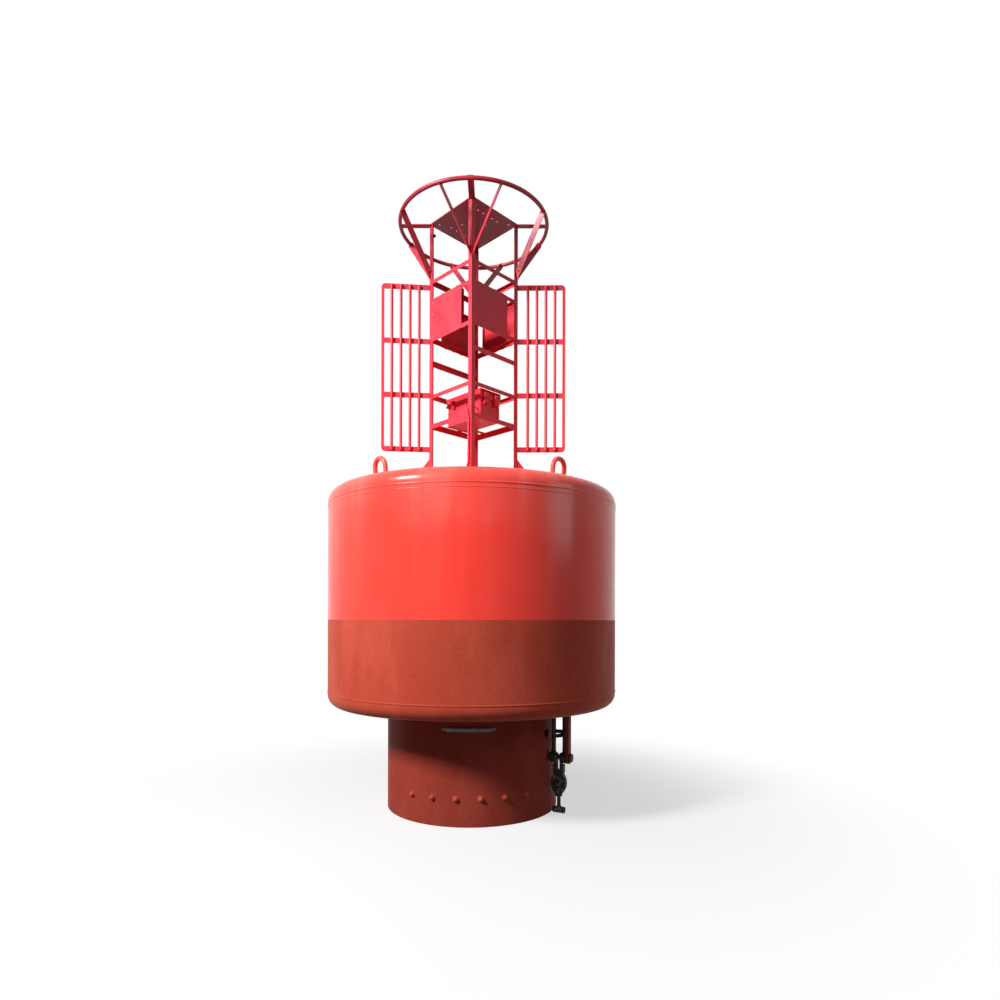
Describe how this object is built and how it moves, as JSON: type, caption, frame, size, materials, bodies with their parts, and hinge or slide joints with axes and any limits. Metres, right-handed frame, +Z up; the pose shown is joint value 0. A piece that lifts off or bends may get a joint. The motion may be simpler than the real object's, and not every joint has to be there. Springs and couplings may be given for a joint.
{
  "type": "navigation buoy",
  "caption": "Can-shaped steel sea buoy on a wide hollow tail tube, with an angle-iron mast, guard ring, radar grilles, battery box and mooring swivel.",
  "frame": {"origin": "on the buoy's axis, at the floor that the tail tube stands on", "axes": "+Z up along the buoy's axis, -Y towards the side with one mast leg in front, +X towards the right radar grille"},
  "size_m": [2.4, 2.3996, 4.94],
  "materials": {
    "paint_red": "semi-gloss signal red paint",
    "paint_bottom": "matt brown-red bottom paint",
    "zinc": "dull weathered zinc",
    "black_iron": "black coated forgings, worn on the high spots",
    "cast_ballast": "rough casting"
  },
  "bodies": {
    "root": {"top_head": "paint_red", "shell_upper": "paint_red", "shell_lower": "paint_bottom", "bottom_head": "paint_bottom", "tail_tube": "paint_bottom", "ballast_blocks": "cast_ballast", "anodes": "zinc", "manhole_collar": "paint_red", "manhole_cover": "paint_red", "lifting_eye_1": "paint_red", "lifting_eye_2": "paint_red", "lifting_eye_3": "paint_red", "lifting_eye_4": "paint_red", "leg_1": "paint_red", "leg_2": "paint_red", "leg_3": "paint_red", "leg_4": "paint_red", "frame_a": "paint_red", "frame_b": "paint_red", "frame_c": "paint_red", "braces_d": "paint_red", "frame_e": "paint_red", "frame_f": "paint_red", "panel_1": "paint_red", "panel_2": "paint_red", "panel_3": "paint_red", "panel_4": "paint_red", "top_plate": "paint_red", "guard_ring": "paint_red", "stays_1": "paint_red", "stays_2": "paint_red", "stays_3": "paint_red", "stays_4": "paint_red", "grille_left": "paint_red", "grille_right": "paint_red", "box_tray": "paint_red", "battery_box": "paint_red", "hull_eye": "black_iron", "mooring_shackle": "black_iron", "keeper_strap": "paint_bottom", "mooring_pin": "black_iron"},
    "lid": {"box_lid": "paint_red", "lid_hasps": "paint_red"},
    "swivel": {"swivel_bow": "black_iron"},
    "swivel_foot": {"swivel_stem": "black_iron"}
  },
  "joints": [
    {"name": "lid_hinge", "type": "hinge", "parent": "root", "child": "lid", "pos_m": [0.08839, 0.08839, 3.404], "axis": [-0.7071, 0.7071, 0], "range_deg": [0, 75]},
    {"name": "swivel_swing", "type": "hinge", "parent": "root", "child": "swivel", "pos_m": [0.70695, -0.36801, 0.457], "axis": [0.887, -0.4617, 0], "range_deg": [-70, 70]},
    {"name": "swivel_spin", "type": "hinge", "parent": "swivel", "child": "swivel_foot", "pos_m": [0.70695, -0.36801, 0.168], "axis": [0, 0, 1], "continuous": true}
  ]
}
